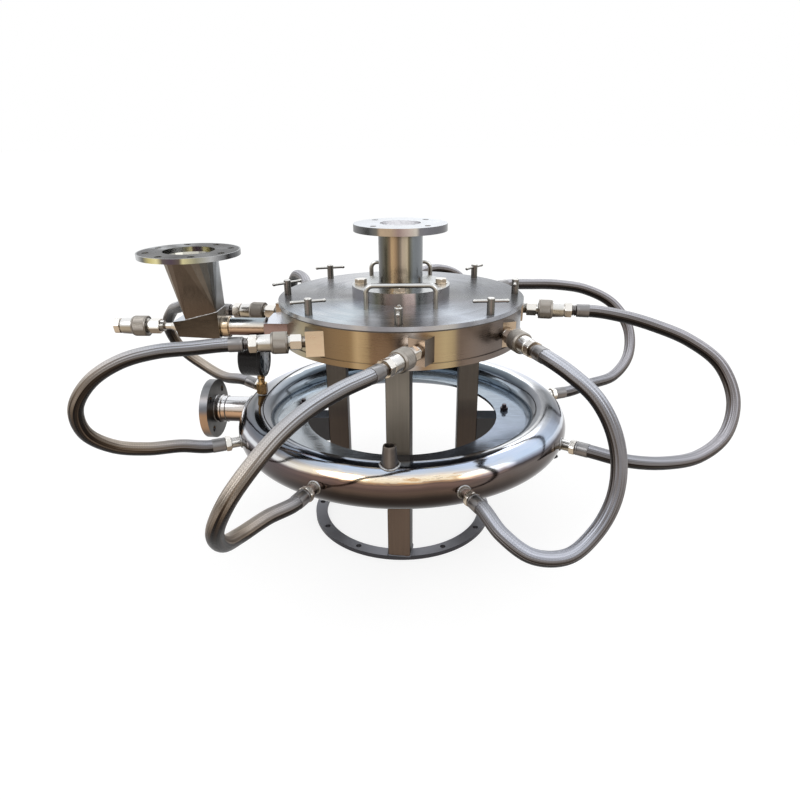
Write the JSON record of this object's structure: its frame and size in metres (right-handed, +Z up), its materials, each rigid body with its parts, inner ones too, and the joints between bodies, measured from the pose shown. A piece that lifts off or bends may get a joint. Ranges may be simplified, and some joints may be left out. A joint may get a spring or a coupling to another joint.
{
  "type": "spiral jet mill",
  "caption": "Spiral jet mill: flat round chamber with bolted lid and outlet flange, ring air manifold, eight braided air hoses, feed injector with hopper flange, on three legs.",
  "frame": {"origin": "middle of the base ring's underside, on the machine's axis", "axes": "+Z up along the axis, -Y toward the front leg, +X to the right as seen from the front"},
  "size_m": [1.0646, 0.8935, 0.552],
  "materials": {
    "stand_dark": "satin dark grey",
    "leg_steel": "brushed, warm grey",
    "bracket_steel": "brushed",
    "polished_ring": "polished",
    "plate_mirror": "polished sheet",
    "dark_bolt": "dark",
    "fitting_steel": "turned",
    "satin_steel": "satin",
    "brass_fitting": "dull",
    "gauge_black": "gloss",
    "dial_white": "matt",
    "gauge_glass": "clear",
    "turned_steel": "turned, warm",
    "gasket": "matt",
    "lid_steel": "polished, slightly blue",
    "bolt_steel": "turned",
    "duct_steel": "folded sheet, brown tint",
    "dark_flange": "turned, dark",
    "ferrule_steel": "crimped",
    "sleeve_grey": "knurled, matt",
    "braid": "fine wire braid"
  },
  "bodies": {
    "frame": {"base_ring": "stand_dark", "stand_legs": "leg_steel", "brackets": "bracket_steel", "air_ring": "polished_ring", "ring_plate": "plate_mirror", "plate_bolts": "dark_bolt", "ring_nipples": "fitting_steel", "inlet_pipe": "satin_steel", "inlet_flange": "satin_steel", "spare_socket": "fitting_steel", "gauge_stem": "brass_fitting", "gauge_case": "gauge_black", "gauge_dial": "dial_white", "gauge_glass": "gauge_glass", "chamber_body": "turned_steel", "grinding_ring": "satin_steel", "port_blocks": "turned_steel", "jet_nozzles": "fitting_steel", "lid_gasket": "gasket", "feed_block": "turned_steel", "feed_pipe": "turned_steel", "injector_box": "duct_steel", "hopper_duct": "duct_steel", "hopper_flange": "dark_flange", "air_lance": "fitting_steel", "port_adapters": "fitting_steel", "coupling_bodies": "fitting_steel", "hose_ferrules": "ferrule_steel", "hose_1": "braid", "hose_2": "braid", "hose_3": "braid", "hose_4": "braid", "hose_5": "braid", "hose_6": "braid", "hose_7": "braid", "hose_8": "braid"},
    "lid_top": {"lid": "lid_steel", "lid_handles": "polished_ring", "foot_flange": "turned_steel", "foot_bolts": "bolt_steel", "outlet_tube": "turned_steel", "outlet_flange": "satin_steel"},
    "dial_needle": {"gauge_needle": "gauge_black"},
    "slide_1": {"sleeve_1": "sleeve_grey"},
    "slide_2": {"sleeve_2": "sleeve_grey"},
    "slide_3": {"sleeve_3": "sleeve_grey"},
    "slide_4": {"sleeve_4": "sleeve_grey"},
    "slide_5": {"sleeve_5": "sleeve_grey"},
    "slide_6": {"sleeve_6": "sleeve_grey"},
    "slide_7": {"sleeve_7": "sleeve_grey"},
    "slide_8": {"sleeve_8": "sleeve_grey"},
    "slide_9": {"sleeve_9": "sleeve_grey"},
    "screw_1": {"tscrew_1": "bolt_steel"},
    "screw_2": {"tscrew_2": "bolt_steel"},
    "screw_3": {"tscrew_3": "bolt_steel"},
    "screw_4": {"tscrew_4": "bolt_steel"},
    "screw_5": {"tscrew_5": "bolt_steel"},
    "screw_6": {"tscrew_6": "bolt_steel"},
    "screw_7": {"tscrew_7": "bolt_steel"},
    "screw_8": {"tscrew_8": "bolt_steel"}
  },
  "joints": [
    {"name": "lid_lift", "type": "slide", "parent": "frame", "child": "lid_top", "axis": [0, 0, 1], "range_m": [0, 0.15]},
    {"name": "screw_turn_1", "type": "hinge", "parent": "lid_top", "child": "screw_1", "pos_m": [-0.00378, -0.19696, 0.432], "axis": [0, 0, 1], "continuous": true},
    {"name": "screw_turn_2", "type": "hinge", "parent": "lid_top", "child": "screw_2", "pos_m": [0.1366, -0.14195, 0.432], "axis": [0, 0, 1], "continuous": true},
    {"name": "screw_turn_3", "type": "hinge", "parent": "lid_top", "child": "screw_3", "pos_m": [0.19696, -0.00378, 0.432], "axis": [0, 0, 1], "continuous": true},
    {"name": "screw_turn_4", "type": "hinge", "parent": "lid_top", "child": "screw_4", "pos_m": [0.14195, 0.1366, 0.432], "axis": [0, 0, 1], "continuous": true},
    {"name": "screw_turn_5", "type": "hinge", "parent": "lid_top", "child": "screw_5", "pos_m": [0.00378, 0.19696, 0.432], "axis": [0, 0, 1], "continuous": true},
    {"name": "screw_turn_6", "type": "hinge", "parent": "lid_top", "child": "screw_6", "pos_m": [-0.1366, 0.14195, 0.432], "axis": [0, 0, 1], "continuous": true},
    {"name": "screw_turn_7", "type": "hinge", "parent": "lid_top", "child": "screw_7", "pos_m": [-0.19696, 0.00378, 0.432], "axis": [0, 0, 1], "continuous": true},
    {"name": "screw_turn_8", "type": "hinge", "parent": "lid_top", "child": "screw_8", "pos_m": [-0.14195, -0.1366, 0.432], "axis": [0, 0, 1], "continuous": true},
    {"name": "sleeve_pull_1", "type": "slide", "parent": "frame", "child": "slide_1", "axis": [-0.9945, -0.1045, 0], "range_m": [0, 0.004], "stiffness_N_per_m": 2000},
    {"name": "sleeve_pull_2", "type": "slide", "parent": "frame", "child": "slide_2", "axis": [-0.5373, -0.8434, 0], "range_m": [0, 0.004], "stiffness_N_per_m": 2000},
    {"name": "sleeve_pull_3", "type": "slide", "parent": "frame", "child": "slide_3", "axis": [0.309, -0.9511, 0], "range_m": [0, 0.004], "stiffness_N_per_m": 2000},
    {"name": "sleeve_pull_4", "type": "slide", "parent": "frame", "child": "slide_4", "axis": [0.9781, -0.2079, 0], "range_m": [0, 0.004], "stiffness_N_per_m": 2000},
    {"name": "sleeve_pull_5", "type": "slide", "parent": "frame", "child": "slide_5", "axis": [0.8387, 0.5446, 0], "range_m": [0, 0.004], "stiffness_N_per_m": 2000},
    {"name": "sleeve_pull_6", "type": "slide", "parent": "frame", "child": "slide_6", "axis": [0.4226, 0.9063, 0], "range_m": [0, 0.004], "stiffness_N_per_m": 2000},
    {"name": "sleeve_pull_7", "type": "slide", "parent": "frame", "child": "slide_7", "axis": [-0.9781, 0.2079, 0], "range_m": [0, 0.004], "stiffness_N_per_m": 2000},
    {"name": "sleeve_pull_8", "type": "slide", "parent": "frame", "child": "slide_8", "axis": [-0.2588, 0.9659, 0], "range_m": [0, 0.004], "stiffness_N_per_m": 2000},
    {"name": "sleeve_pull_9", "type": "slide", "parent": "frame", "child": "slide_9", "axis": [-0.9986, 0.0523, 0], "range_m": [0, 0.004], "stiffness_N_per_m": 2000},
    {"name": "needle_turn", "type": "hinge", "parent": "frame", "child": "dial_needle", "pos_m": [-0.26222, 0.02018, 0.309], "axis": [-0.9945, 0.1045, 0], "range_deg": [0, 270], "stiffness_Nm_per_rad": 0.002}
  ]
}
